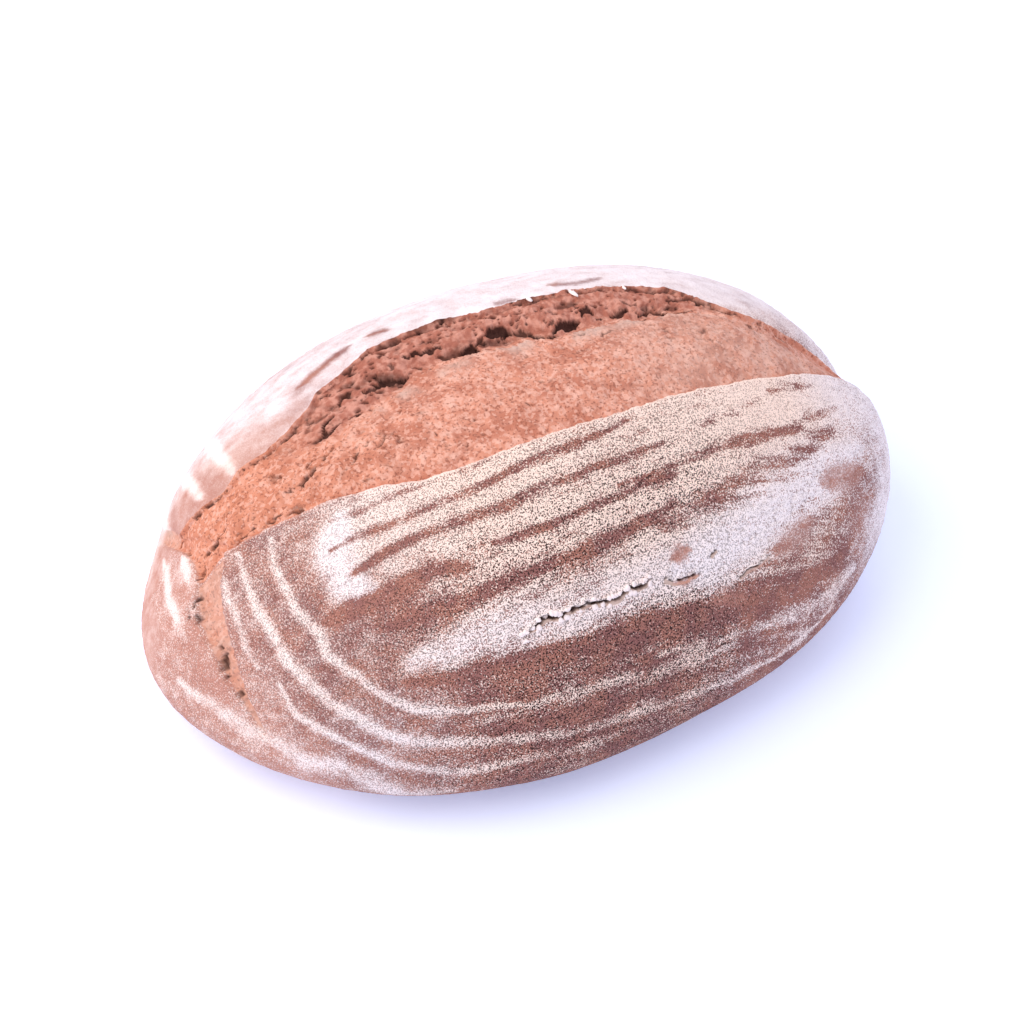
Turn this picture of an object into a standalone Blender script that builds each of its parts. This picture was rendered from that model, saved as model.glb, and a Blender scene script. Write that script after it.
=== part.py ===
"""A country bread loaf: a floured oval loaf that has burst open along its top.

The loaf lies along X. Its near flap of floured crust faces -Y, and the burst
runs along the top behind it. The whole loaf is one solid on a flat base.
"""
from math import radians

import bmesh
import bpy
import numpy as np
from mathutils import Vector, noise

MM = 0.001

# Driving sizes of the loaf, in metres.
HALF_LENGTH = 0.135
HALF_WIDTH = 0.091
HEIGHT = 0.103
BELLY = 0.0225              # height of the widest level above the base
TUCK = 0.0305               # depth below the belly that the underside would reach if it were round
LEAN_X = 0.0198             # the top leans this far to the right end
LEAN_Y = 0.0042             # and this far to the far side

# How full the shape is: 2 is an ellipse, more is boxier.
PLAN_FULLNESS = 2.07
TOP_FULLNESS = 2.22
TOP_FULLNESS_X = -0.36      # change from the middle to the right end
TOP_FULLNESS_Y = 0.2        # change from the middle to the far side
UNDER_FULLNESS = 2.5
# Waves round the plan: how many, and their cosine and sine parts.
PLAN_WAVES = ((2, 0.009, -0.005), (3, 0.006, 0.009), (4, -0.004, -0.008))

# The surface is measured in degrees: "along" runs from the left end, 0, to the
# right end, 180, and "round" from the far side, 0, over the top, 90, to the
# near side, 180, and back underneath.
POLE_DROP = 0.4             # both ends of the measuring grid lie low on the loaf

# Edges of the burst, as (along, round).
FLAP_EDGE = (
    (0, 96), (36, 97), (41, 97), (46, 99.5), (53, 103), (58, 106), (66, 106.5), (76, 108),
    (86, 108.3), (104, 107.6), (114, 107), (124, 106), (136, 104), (142, 102), (180, 101),
)
TORN_EDGE = (
    (0, 70), (33, 71), (36, 75), (40, 79), (43, 76), (48, 74), (52, 70), (58, 66), (63, 64), (74, 64.5),
    (88, 65), (98, 66.5), (108, 69), (116, 70.5), (122, 73), (126, 79), (132, 84), (137, 92), (142, 101),
    (180, 100),
)
WALL_FOOT = (
    (0, 76), (44, 81), (50, 78), (54, 74), (60, 71), (64, 68.5), (72, 70.5), (79, 70), (85, 67),
    (90, 70.5), (94, 75), (100, 73.5), (105, 72), (110, 74.5), (117, 76), (124, 79), (132, 86), (142, 101.4),
)
DOUGH_EDGE = (
    (0, 80), (44, 84), (54, 81.5), (60, 77.5), (68, 75.5), (76, 76), (84, 77.5), (92, 79.5),
    (102, 80), (112, 81), (122, 82), (132, 88), (142, 101.6),
)
# The crack across the left end, and the cap of crust beyond it, as (round, along).
CAP_EDGE = (
    (40, 30.5), (68, 31), (76, 32), (84, 33), (89, 34), (93, 33), (96, 30.6), (100, 29.2),
    (109, 29), (116, 28), (130, 28.4), (145, 29),
)
CRACK_NEAR_EDGE = (
    (40, 32.5), (70, 33.5), (97, 36), (102, 34), (110, 32), (115, 31), (125, 30.2), (145, 29.6),
)

# Where things begin and end along the loaf, in degrees.
TORN_BEGINS = (36, 44)
TORN_ENDS = (128, 136)
GAPE_BEGINS = (44, 62)
GAPE_ENDS = (112, 134)
BURST_CLOSES = (139, 143)
GROOVE_BEGINS = (130, 142)
GROOVE_ENDS = (156, 168)
# The same round the loaf, for the crack across the left end.
CRACK_BEGINS = (48, 62)
CRACK_ENDS = (124, 138)
# A step down from the crust takes this many degrees to each side of its edge.
STEP_OUT = 0.9
STEP_IN = 0.7
CRACK_STEP = 1.2

# Depths under the crust, in metres.
FLAP_STEP = 1.5 * MM        # the smooth dough beside the flap's edge
DOUGH_DROP = 4.2 * MM       # the smooth dough beside the crevice
DOUGH_BULGE = 1.2 * MM      # and how far it swells between the two
CREVICE_DEPTH = 11 * MM
WALL_DROP = 5.2 * MM        # the foot of the torn wall
TORN_STEP = 1.2 * MM        # the top of the torn wall under the far crust's edge
CREVICE_SHALLOW = 2.2 * MM  # what is left of the crevice towards both ends
EDGE_LIP = 0.4 * MM         # the crust curls up at its torn edges
CRACK_DEPTH = 2.8 * MM
END_GROOVE_DEPTH = 3.6 * MM
END_GROOVE_WIDTH = 14       # degrees to each side
END_GROOVE_LINE = 104       # its round angle
CREVICE_SLOPE = 2.0 * MM    # the crevice is at most this deep for each degree of its width
LUMPS = 0.9 * MM
LUMP_SIZE = 0.045
RIPPLES = 0.3 * MM
RIPPLE_SIZE = 0.018
CRAGS = 1.0 * MM            # on the torn wall
CRAG_SIZE = 0.006
PLAIN_BELOW = 0.004         # the crust is smooth below this height
ROUGH_ABOVE = 0.02          # and has its full relief above this one

# The mesh: stations along the loaf, as (number, along), and cells between the burst's edges.
STATION_STOPS = ((0, 0), (4, 16), (9, 27), (17, 37), (71, 140), (86, 168), (90, 180))
STATIONS = STATION_STOPS[-1][0]
FAR_CELLS = 16
WALL_CELLS = 4
DOUGH_CELLS = 8
NEAR_CELLS = 27
BASE_CELLS = 6
CLEAR_OF_BASE = 12          # degrees kept between the burst and the base's edge

CRUST_COLOR = (0.52, 0.28, 0.2, 1.0)
CRUST_ROUGHNESS = 0.85
SHARP_ANGLE = radians(50)


def blend(low, high, value):
    """Rise smoothly from 0 at low to 1 at high."""
    share = np.clip((value - low) / (high - low), 0, 1)
    return share * share * (3 - 2 * share)


def read(knots, value):
    """The height of a line through the knots."""
    places, heights = zip(*knots)
    return np.interp(value, places, heights)


def direction(along, around):
    """The unit vector that a place on the measuring grid points to."""
    along, around = np.radians(along), np.radians(around)
    x = -np.cos(along)
    y = np.sin(along) * np.cos(around)
    z = np.sin(along) * np.sin(around) - POLE_DROP * x * x
    length = np.sqrt(x * x + y * y + z * z)
    return x / length, y / length, z / length


def smooth_loaf(along, around):
    """The loaf before it bursts: points as an array whose last axis is x, y, z."""
    x, y, z = direction(along, around)
    bearing = np.arctan2(y, x)
    reach = 1 + sum(c * np.cos(n * bearing) + s * np.sin(n * bearing) for n, c, s in PLAN_WAVES)
    across = np.abs(x / (HALF_LENGTH * reach)) ** PLAN_FULLNESS
    across = across + np.abs(y / (HALF_WIDTH * reach)) ** PLAN_FULLNESS
    plan = across ** (1 / PLAN_FULLNESS)
    full = TOP_FULLNESS + TOP_FULLNESS_X * np.cos(bearing) + TOP_FULLNESS_Y * np.sin(bearing)
    top = (plan ** full + np.abs(z / (HEIGHT - BELLY)) ** full) ** (-1 / full)
    under = (plan ** UNDER_FULLNESS + np.abs(z / TUCK) ** UNDER_FULLNESS) ** (-1 / UNDER_FULLNESS)
    radius = np.where(z > 0, top, under)
    rise = np.clip(radius * z / (HEIGHT - BELLY), 0, 1)
    points = (radius * x + LEAN_X * rise, radius * y + LEAN_Y * rise, BELLY + radius * z)
    return np.stack(points, -1)


def outward(along, around):
    """Unit normals of the smooth loaf."""
    step = 0.2
    forward = smooth_loaf(along + step, around) - smooth_loaf(along - step, around)
    sideways = smooth_loaf(along, around + step) - smooth_loaf(along, around - step)
    normal = np.cross(sideways, forward)
    return normal / (np.linalg.norm(normal, axis=-1, keepdims=True) + 1e-12)


def opening(along):
    """How far the burst gapes at each station, from 0 at the ends to 1."""
    return blend(*GAPE_BEGINS, along) * (1 - blend(*GAPE_ENDS, along))


def edges(along):
    """The round angles of the burst's edges at one station, from far to near."""
    torn = read(TORN_EDGE, along)
    foot = max(read(WALL_FOOT, along), torn + 2)
    dough = max(read(DOUGH_EDGE, along), foot + 2.4)
    flap = max(read(FLAP_EDGE, along), dough + 4)
    return torn, foot, dough, flap


def base_edge(along, under, over):
    """The round angle between under and over where the smooth loaf meets its base."""
    for _ in range(30):
        middle = (under + over) / 2
        if smooth_loaf(along, middle)[2] > 0:
            over = middle
        else:
            under = middle
    return (under + over) / 2


def columns(along):
    """The round angle of every column of the mesh at one station."""
    torn, foot, dough, flap = edges(along)
    far_base = min(base_edge(along, -90, 90), torn - CLEAR_OF_BASE)
    near_base = max(base_edge(along, 270, 90), flap + CLEAR_OF_BASE)
    stops = (
        (1, far_base), (FAR_CELLS, torn - STEP_OUT), (1, torn + STEP_IN), (WALL_CELLS, foot),
        (1, foot + STEP_IN), (1, dough - STEP_IN), (1, dough + STEP_OUT), (DOUGH_CELLS, flap - STEP_OUT),
        (1, flap + STEP_IN), (NEAR_CELLS, near_base), (BASE_CELLS, far_base + 360),
    )
    angles = [far_base]
    for (cells, high), (_, low) in zip(stops[1:], stops):
        angles.extend(low + (high - low) * (cell + 1) / cells for cell in range(cells))
    return np.array(angles[:-1])


def burst_depth(along, around):
    """Depth of the open burst under the crust at one station, for all columns."""
    torn, foot, dough, flap = edges(along)
    gape = opening(along)
    deepest = min(CREVICE_DEPTH, CREVICE_SLOPE * (dough - foot))
    crevice = CREVICE_SHALLOW + (deepest - CREVICE_SHALLOW) * gape
    wall = TORN_STEP + (WALL_DROP - TORN_STEP) * gape
    drop = FLAP_STEP + (DOUGH_DROP - FLAP_STEP) * gape
    profile = (
        (torn - 4, 0), (torn - STEP_OUT, -EDGE_LIP), (torn + STEP_IN, TORN_STEP), (foot, wall),
        (foot + STEP_IN, crevice), (dough - STEP_IN, crevice), (dough + STEP_OUT, drop),
        ((dough + flap) / 2, (drop + FLAP_STEP) / 2 - DOUGH_BULGE), (flap - STEP_OUT, FLAP_STEP),
        (flap + STEP_IN, -EDGE_LIP), (flap + 4, 0),
    )
    return read(profile, around)


def relief(along, around):
    """How far the crust stands out from the smooth loaf at one station."""
    cap = read(CAP_EDGE, around)
    near = read(CRACK_NEAR_EDGE, around)
    beyond_cap = blend(cap, cap + CRACK_STEP, along)
    in_crack = beyond_cap * (1 - blend(near - CRACK_STEP, near, along))
    in_crack = in_crack * blend(*CRACK_BEGINS, around) * (1 - blend(*CRACK_ENDS, around))
    depth = burst_depth(along, around) * beyond_cap * (1 - blend(*BURST_CLOSES, along))
    depth = np.maximum(depth, CRACK_DEPTH * in_crack)
    groove = 1 - blend(0, END_GROOVE_WIDTH, np.abs(around - END_GROOVE_LINE))
    groove = groove * blend(*GROOVE_BEGINS, along) * (1 - blend(*GROOVE_ENDS, along))
    return -depth - END_GROOVE_DEPTH * groove


def torn_share(along, around):
    """1 on the torn wall and in the crevice, 0 elsewhere, for one station."""
    torn, _, dough, _ = edges(along)
    inside = blend(torn, torn + 1, around) * (1 - blend(dough - 1, dough, around))
    return inside * blend(*TORN_BEGINS, along) * (1 - blend(*TORN_ENDS, along))


def uneven(point, share_torn):
    """Lumps and ripples of the crust, and crags on the torn wall."""
    place = Vector(point)
    height = LUMPS * noise.noise(place / LUMP_SIZE)
    height += RIPPLES * noise.noise(place / RIPPLE_SIZE)
    return height + CRAGS * share_torn * noise.noise(place / CRAG_SIZE)


def station_points(along):
    """All points of the loaf's surface at one station."""
    around = columns(along)
    smooth = smooth_loaf(along, around)
    normals = outward(along, around)
    above_base = blend(PLAIN_BELOW, ROUGH_ABOVE, smooth[:, 2])
    height = relief(along, around)
    torn = torn_share(along, around)
    height = height + np.array([uneven(p, t) for p, t in zip(smooth, torn)])
    points = smooth + normals * (height * above_base)[:, None]
    points[:, 2] = np.maximum(points[:, 2], 0)
    return points


def make_crust_material():
    material = bpy.data.materials.new("crust")
    material.use_nodes = True
    shader = material.node_tree.nodes["Principled BSDF"]
    shader.inputs["Base Color"].default_value = CRUST_COLOR
    shader.inputs["Roughness"].default_value = CRUST_ROUGHNESS
    shader.inputs["Metallic"].default_value = 0.0
    material.diffuse_color = CRUST_COLOR
    return material


def make_loaf():
    """A sphere whose rings become the stations and whose segments become the columns."""
    segments = len(columns(90.0))
    mesh = bmesh.new()
    bmesh.ops.create_uvsphere(mesh, u_segments=segments, v_segments=STATIONS, radius=1)
    rings = {ring: station_points(read(STATION_STOPS, ring)) for ring in range(1, STATIONS)}
    for vert in mesh.verts:
        ring = round(STATIONS * np.arccos(np.clip(vert.co.z, -1, 1)) / np.pi)
        if ring in rings:
            turn = np.arctan2(vert.co.y, vert.co.x) / (2 * np.pi)
            vert.co = rings[ring][round(segments * turn) % segments]
        else:
            end = smooth_loaf(180.0 * ring / STATIONS, np.array([270.0]))[0]
            vert.co = (end[0], end[1], 0)
    bmesh.ops.triangulate(mesh, faces=mesh.faces)
    if mesh.calc_volume(signed=True) < 0:
        bmesh.ops.reverse_faces(mesh, faces=mesh.faces)
    low = Vector([min(vert.co[axis] for vert in mesh.verts) for axis in range(3)])
    high = Vector([max(vert.co[axis] for vert in mesh.verts) for axis in range(3)])
    middle = (low + high) / 2
    bmesh.ops.translate(mesh, verts=mesh.verts, vec=(-middle.x, -middle.y, 0))
    data = bpy.data.meshes.new("loaf")
    mesh.to_mesh(data)
    mesh.free()
    data.shade_smooth()
    data.set_sharp_from_angle(angle=SHARP_ANGLE)
    data.materials.append(make_crust_material())
    return bpy.data.objects.new("loaf", data)


def main():
    for old in list(bpy.data.objects):
        bpy.data.objects.remove(old, do_unlink=True)
    collection = bpy.data.collections.new("country_bread_loaf")
    bpy.context.scene.collection.children.link(collection)
    collection.objects.link(make_loaf())


main()
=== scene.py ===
from math import cos, radians, sin

import bmesh
import bpy
import numpy as np
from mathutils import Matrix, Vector, noise


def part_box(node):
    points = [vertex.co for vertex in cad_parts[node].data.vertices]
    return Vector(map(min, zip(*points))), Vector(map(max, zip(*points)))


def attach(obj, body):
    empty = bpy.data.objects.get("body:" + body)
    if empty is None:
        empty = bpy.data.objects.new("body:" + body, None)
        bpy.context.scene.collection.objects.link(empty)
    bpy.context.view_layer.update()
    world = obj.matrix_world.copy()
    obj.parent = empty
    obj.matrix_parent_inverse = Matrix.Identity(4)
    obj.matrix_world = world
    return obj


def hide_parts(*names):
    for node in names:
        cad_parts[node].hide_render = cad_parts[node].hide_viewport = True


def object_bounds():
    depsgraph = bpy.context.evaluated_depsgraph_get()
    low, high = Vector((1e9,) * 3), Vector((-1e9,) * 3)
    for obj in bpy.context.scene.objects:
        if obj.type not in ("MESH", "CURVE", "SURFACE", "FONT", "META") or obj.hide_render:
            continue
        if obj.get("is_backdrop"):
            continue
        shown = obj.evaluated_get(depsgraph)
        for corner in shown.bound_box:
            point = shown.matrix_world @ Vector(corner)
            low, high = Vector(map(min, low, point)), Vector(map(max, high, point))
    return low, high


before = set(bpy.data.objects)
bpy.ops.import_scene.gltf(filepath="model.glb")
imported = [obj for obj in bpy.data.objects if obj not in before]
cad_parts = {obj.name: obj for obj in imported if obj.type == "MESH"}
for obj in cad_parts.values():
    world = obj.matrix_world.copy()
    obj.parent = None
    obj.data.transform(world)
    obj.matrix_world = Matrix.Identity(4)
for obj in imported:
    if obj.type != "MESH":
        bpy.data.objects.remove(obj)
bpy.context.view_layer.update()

mm = 0.001
noise.seed_set(11)
bpy.context.scene.view_settings.view_transform = "Standard"

# The form of the loaf. Places on it are (along, around) in degrees: along runs from the left end to
# the right end, around from the far side (0) over the top (90) to the near side (180) and back under.
form = {
    "halfLength": 0.135,
    "halfWidth": 0.091,
    "height": 0.103,
    "belly": 0.0225,
    "tuck": 0.0305,
    "leanX": 0.0198,
    "leanY": 0.0042,
    "planFullness": 2.07,
    "topFullness": (2.22, -0.36, 0.2),  # in the middle, and its change to the right and far sides
    "underFullness": 2.5,
    "planWaves": ((2, 0.009, -0.005), (3, 0.006, 0.009), (4, -0.004, -0.008)),
    "poleDrop": 0.4,
    "plainBelow": 0.004,  # the relief fades out towards the base
    "roughAbove": 0.02,
    "lumps": (0.9 * mm, 0.045),  # height and size
    "ripples": (0.3 * mm, 0.018),
    "dents": (0.16 * mm, 0.0045),
    "pimples": (0.07 * mm, 0.0014),
    # where the loaf is a little slimmer or, below zero, fuller: place, radius, depth
    "sinks": (((31, 71), 0.017, 4.4 * mm), ((150, 72), 0.03, 5.5 * mm), ((146, 112), 0.016, -1.2 * mm),
              ((41, 168), 0.03, -2.0 * mm), ((21, 95), 0.02, -1.2 * mm), ((106, 182), 0.004, 1.8 * mm),
              ((28, 62), 0.016, 1.6 * mm), ((147, 143), 0.02, 2.0 * mm), ((142, 105), 0.012, 0.9 * mm)),
    "crackLumps": (0.9 * mm, 0.0045),
    "crackGrit": (0.25 * mm, 0.0015),
    "flourLift": 0.28 * mm,
    "clodDepth": 0.9 * mm,
    "clodSizes": (0.003, 0.0065),
    "endCover": 0.3,
    "bend": (0.9 * mm, 0.0028),  # how far and how coarsely the lines of the cracks waver
    "rag": (0.55 * mm, 0.0012),
}

# The burst: its edges as (along, around), its depths, and what is split or hollow in it.
burst = {
    "flapEdge": ((0, 88), (35, 88.8), (37, 90.4), (40, 92.8), (43, 95.2), (46, 97), (48.5, 98.8),
                 (50.7, 100.4), (53, 102.6), (55, 104.2), (59, 105.8), (64, 107), (72, 108),
                 (80, 108.6), (90, 109.2), (103, 108.6), (113, 107.8), (122, 106.8), (130, 105.9),
                 (136, 104.2), (141, 102.2), (147, 101.6), (152, 100.7), (180, 100)),
    "tornEdge": ((0, 62), (31.5, 66), (33, 68), (34.1, 70.9), (36.1, 74.1), (37.6, 76.3), (39.1, 78),
                 (41.3, 76.4), (44.1, 77.1), (46.5, 75.8), (48.2, 74.3), (49.7, 72.9), (50.8, 70.9),
                 (51.3, 69.6), (52.2, 69.3), (54.3, 68.4), (55.4, 67.9), (56.4, 66.9), (57.5, 66),
                 (58.8, 64.9), (60.3, 64.1), (63.2, 63.6), (67.1, 63.6), (72.6, 63.3), (75.1, 64.2),
                 (79.9, 65.5), (85, 65.2), (90, 65.2), (92.5, 65.4), (96.1, 66.1), (99.5, 67),
                 (103.4, 68), (106.4, 68.7), (109.6, 69.7), (112.5, 70.9), (115.4, 71.8), (118.1, 73.2),
                 (121, 74.6), (122.7, 77.2), (124, 79), (125.6, 81.2), (127.3, 83), (128.9, 84.8),
                 (131, 87), (135, 88.8), (138.3, 89.6), (141.3, 90.7), (144.7, 92.6), (149, 96.6),
                 (152, 99.6), (180, 99)),
    "wallFoot": ((0, 76), (44, 82), (50, 80), (54, 77.5), (60, 74), (66, 71.5), (72, 72.5), (79, 73),
                 (85, 71), (90, 74), (94, 77), (100, 76), (105, 75), (110, 77), (117, 78), (124, 80),
                 (132, 86), (142, 98), (152, 99.9)),
    "doughEdge": ((0, 80), (44, 84), (54, 81.5), (60, 77.5), (68, 75.5), (76, 76), (84, 77.5),
                  (92, 79.5), (102, 80), (112, 81), (122, 82), (132, 88), (142, 99), (152, 100.2)),
    # the edges of the crack beside the cap at the left end, as (around, along)
    "capEdge": ((40, 30), (67.2, 31.5), (76.3, 32.4), (83.1, 32.8), (88.6, 32.2), (92, 31.1),
                (97.4, 29.9), (104.6, 29.4), (112.2, 29.1), (118.4, 28.9), (125, 28.7), (145, 28.6)),
    "crackNearEdge": ((40, 32.5), (70, 33.5), (88, 36.8), (91, 35.6), (94.4, 34.2), (100.1, 33),
                      (106.5, 32), (112.8, 31.1), (119.2, 30.2), (130, 29.6), (145, 29.2)),
    # how each edge wavers: reach and size in degrees, seed
    "wavers": {
        "tornEdge": ((0.25, 2.6, 3.0), (0.3, 0.9, 4.0)),
        "wallFoot": ((2.6, 4.5, 7.0),),
        "doughEdge": ((1.3, 3.4, 9.0), (0.5, 1.2, 10.0)),
        "flapEdge": ((0.32, 3.0, 12.0), (0.16, 0.8, 13.0)),
    },
    "leastGaps": (1.4, 1.0, 1.6),
    "narrows": (140, 151),
    "narrowsTo": 0.12,
    # where each part begins, from nothing to full, and where it ends
    "torn": (42, 52, 122, 130),
    "gape": (44, 62, 110, 130),
    "groove": (130, 142, 156, 168),
    "crack": (48, 62, 124, 138),
    "closes": (147, 152),
    "crackStep": 0.5,
    "crackDepth": 2.2 * mm,
    "stepOut": 0.5,
    "stepIn": 0.6,
    "pores": ((0.0033, 0.0), (0.0021, 3.0), (0.0014, 6.0)),
    "lip": 0.5 * mm,
    "tornStep": 1.3 * mm,
    "wallDrop": 4.2 * mm,
    "wallSwell": 1.1 * mm,
    "lean": 0.3 * mm,
    "overhang": 0.6 * mm,
    "ledges": (1.3 * mm, 0.0075, 0.008),
    "crags": (0.7 * mm, 0.0042),
    "wallGrit": (0.4 * mm, 0.0012),
    "poreDepth": 1.2 * mm,
    "poreSpan": (0.16, 0.42),
    "soft": (0.6 * mm, 0.0055),
    "softer": 0.8 * mm,  # more of it at the left end
    "grit": (0.24 * mm, 0.0014),
    "nicks": (0.5 * mm, 0.0024),
    "creases": (1.3 * mm, 0.009),
    "rag": (0.6 * mm, 0.0013),
    "shadowDepth": 0.8 * mm,
    "veil": 0.26,
    "dust": 0.7,
    "footDrop": 5.2 * mm,
    "doughDrop": 4.2 * mm,
    "flapStep": 1.5 * mm,
    "doughBulge": 1.2 * mm,
    "grooveDepth": 3.6 * mm,
    "grooveWidth": 12,
    "grooveLine": 93,
    # splits in the dough and along its edges at the left end, cut in and painted dark as shade: line, half
    # width and depth in mm
    "splits": (
        (((44.5, 89.5), (45.2, 89.3), (46, 88.8)), 1, 1.6), (((42.9, 88.6), (44.5, 89.3)), 0.3, 0.5),
        (((46.4, 88.3), (47.2, 87.8), (48.2, 86), (49.1, 85)), 0.6, 1.1),
        (((48.4, 92.8), (49.9, 91), (51.3, 89.9)), 0.5, 0.9),
        (((35.7, 74.3), (35.7, 73.4), (36.4, 74), (37.1, 75.2), (37.8, 76.3)), 0.7, 1.2),
        (((37.9, 76.6), (38.6, 77.4), (39.4, 77.6)), 0.35, 0.6),
        (((41.5, 76.6), (42.6, 76.9), (43.6, 77.2), (44.6, 77.1)), 0.4, 0.8),
        (((45.3, 77.1), (46.2, 76.7), (46.9, 76.1)), 0.5, 0.8),
        (((32.2, 67.5), (33, 68.5), (33.9, 69.3)), 0.8, 1.2),
        (((32.4, 74.8), (32.7, 76), (32.9, 78)), 0.5, 0.9),
        (((34.3, 84), (35.2, 84.8), (36, 85.2), (36.9, 84.8)), 0.7, 1.2),
        (((40.4, 91.4), (41.6, 92)), 0.6, 0.8), (((38.2, 89.8), (39.4, 90.6)), 0.45, 0.6),
        (((33.5, 85.6), (32.9, 86.4), (32.5, 87.5)), 0.5, 1),
        (((30.2, 90.8), (29.7, 91.8), (29.5, 93.6)), 0.35, 0.7),
        (((31.7, 91.3), (31.1, 91.3), (30.8, 92.2)), 0.4, 0.8), (((30.3, 94.4), (30.2, 95.6)), 0.6, 0.9),
        (((30.6, 103.6), (30.4, 104.9)), 0.6, 1), (((30.1, 107), (29.8, 108.4), (29.6, 109.6)), 1, 1.4),
        (((29.3, 111), (29.2, 112)), 0.5, 0.9), (((29.2, 116.6), (29.1, 117.8)), 0.6, 0.9),
        (((75.6, 97.6), (75.9, 99)), 0.6, 0.9), (((59.1, 95.2), (59.4, 96.4)), 0.5, 0.7),
        (((51.2, 90.2), (51.9, 89.4)), 0.5, 0.8),
    ),
    # hollows of the torn side, cut in and painted dark as shade: line, half width and depth in mm, darkness
    # of the painted shade
    "caves": (
        (((47.7, 81.5), (48.4, 81.2), (49.1, 80.3), (49.3, 79.1), (50, 78.1), (50.9, 77.8)), 0.9, 3, 0.92),
        (((48.3, 81.6), (48.9, 81.4), (49.5, 80.9), (50, 80.4), (51, 80.2)), 0.7, 2.5, 0.92),
        (((51.7, 77.2), (52.3, 75.3), (52.8, 73.9), (53.5, 73.7), (54.6, 72.9)), 0.7, 2.5, 0.9),
        (((51.6, 79.6), (52.3, 79.6), (53, 79.5), (53.8, 79.3)), 0.6, 2, 0.9),
        (((53.4, 76.4), (54.1, 76.5), (54.7, 76.6), (55.3, 76.1)), 0.5, 1.5, 0.6),
        (((55.2, 74.6), (55.6, 75.4), (56.3, 74.9), (57.2, 74.2)), 0.9, 2.5, 0.8),
        (((56.9, 73.3), (57.6, 74.1), (58.5, 73.6), (59.3, 73.9), (60.4, 74.5), (61.3, 74.3), (62, 74)),
          1.5, 4.5, 0.96), (((56.6, 71.9), (57.4, 72.1), (58.4, 71.6)), 0.7, 2, 0.85),
        (((62.9, 69.3), (63.9, 69.6), (64.7, 69.5), (65.6, 69.6), (66.8, 70.1), (68.2, 70.5),
          (69.6, 70.3)), 0.8, 2.5, 0.93),
        (((63.4, 71.9), (64, 73), (64.5, 74), (65.3, 74.6)), 0.6, 1.5, 0.75),
        (((60.6, 70.5), (60.4, 71.7)), 0.7, 1.5, 0.7),
        (((68.1, 72.1), (68.8, 73.1), (69.6, 74), (70.7, 74.6)), 1.1, 3, 0.8),
        (((71.2, 74.2), (72.3, 73.8), (73.3, 73.7), (74.2, 73.9), (75, 74.6)), 2.3, 6, 0.97),
        (((75.2, 74.7), (76.1, 75.6), (77, 76.2)), 0.8, 2, 0.9),
        (((75.5, 72.5), (76.8, 72), (77.9, 71.5)), 0.9, 3, 0.9),
        (((78.6, 71.1), (80.5, 70.8), (82, 71.2), (83.6, 71.5)), 1.9, 5, 0.97),
        (((84.2, 71.6), (85.6, 72.3), (86.3, 73.7), (86.8, 75)), 1.2, 3, 0.87),
        (((87.3, 74.4), (88.1, 76), (89.2, 77.2), (90.6, 78.2), (92.1, 78.2)), 1.4, 4, 0.94),
        (((92.9, 77.4), (94.5, 76.6), (96.2, 76.4), (98.2, 76.6), (99.9, 76.3)), 1.8, 5, 0.97),
        (((95.5, 81.8), (97, 82), (98.3, 81.4)), 0.6, 1.2, 0.6),
        (((92.4, 75.2), (93.9, 74.7)), 0.9, 1.5, 0.7),
        (((101.4, 75.2), (102.2, 74.4), (103.3, 74.4), (104.2, 74.8)), 1.4, 3.5, 0.95),
        (((104.4, 76.3), (105.3, 77)), 0.8, 2, 0.92),
        (((107.8, 77.5), (108.7, 77.1), (109.7, 77.3), (111.2, 77.2)), 1.3, 3.5, 0.95),
        (((110.8, 75.4), (112.4, 76.1), (113.9, 76.8)), 0.7, 1.5, 0.6),
        (((113.3, 79), (114.8, 78.8), (116.2, 78.8), (116.9, 80), (118, 81), (119, 81.2)), 1, 3, 0.93),
        (((111.5, 80.6), (112.7, 81.6), (114.3, 81.5)), 0.6, 1.2, 0.7),
        (((119.6, 81.3), (120.7, 81.7), (122, 82), (123.2, 82.3)), 0.8, 2, 0.85),
        (((124.2, 81), (125, 80.8)), 1.1, 2, 0.85),
        (((101.2, 84.2), (103.2, 83.6), (104.8, 83.4)), 0.5, 1, 0.65),
        (((130.9, 89.1), (131.7, 89.8)), 0.8, 1, 0.55), (((132.9, 87.9), (133.8, 88.5)), 0.6, 0.8, 0.5),
        (((136, 90.2), (137.8, 91)), 0.8, 0.8, 0.4),
        (((47.3, 76.9), (47.1, 75.9), (47.5, 75.2), (48.2, 75)), 0.5, 1.5, 0.75),
        (((101.3, 72), (101.6, 72.3)), 0.9, 1.5, 0.95), (((94, 69.9), (94.4, 70)), 0.7, 1.2, 0.9),
        (((86.7, 72.7), (86.9, 73)), 0.7, 1.2, 0.9), (((88, 71.8), (88.4, 72)), 0.6, 1.2, 0.85),
        (((99.4, 72.6), (99.7, 73)), 0.6, 1.2, 0.85), (((52, 71.1), (52.4, 71.3)), 0.5, 1, 0.85),
        (((51.1, 71.2), (51.4, 71.5)), 0.5, 1, 0.8),
        (((60.4, 67.6), (60.7, 66.7), (61.2, 67.2), (61.4, 68.2)), 0.4, 1, 0.8),
        (((54.4, 72.9), (54.7, 73.1)), 0.5, 1, 0.8), (((65.4, 67.7), (65.8, 67.9)), 0.6, 1, 0.85),
        (((67, 67.4), (67.6, 67.2)), 0.6, 1, 0.75), (((91.3, 70), (92.4, 69.6)), 0.5, 1, 0.8),
        (((82.4, 68.5), (82.8, 68.8)), 0.7, 1.2, 0.85),
    ),
    # thin lines of painted shadow below the far crust: line, half width in mm
    "shadows": (
        (((55.3, 68.1), (56.3, 67), (57.1, 66.3)), 0.6), (((58.2, 65.5), (59.6, 64.6)), 0.7),
        (((61.1, 64.4), (62.6, 64), (63.8, 63.9), (65, 63.9)), 0.5),
        (((65.9, 63.9), (67.1, 64.1), (68.2, 64.1), (69, 64.4)), 0.7), (((71.2, 64.2), (72.9, 63.9)), 0.45),
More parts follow.
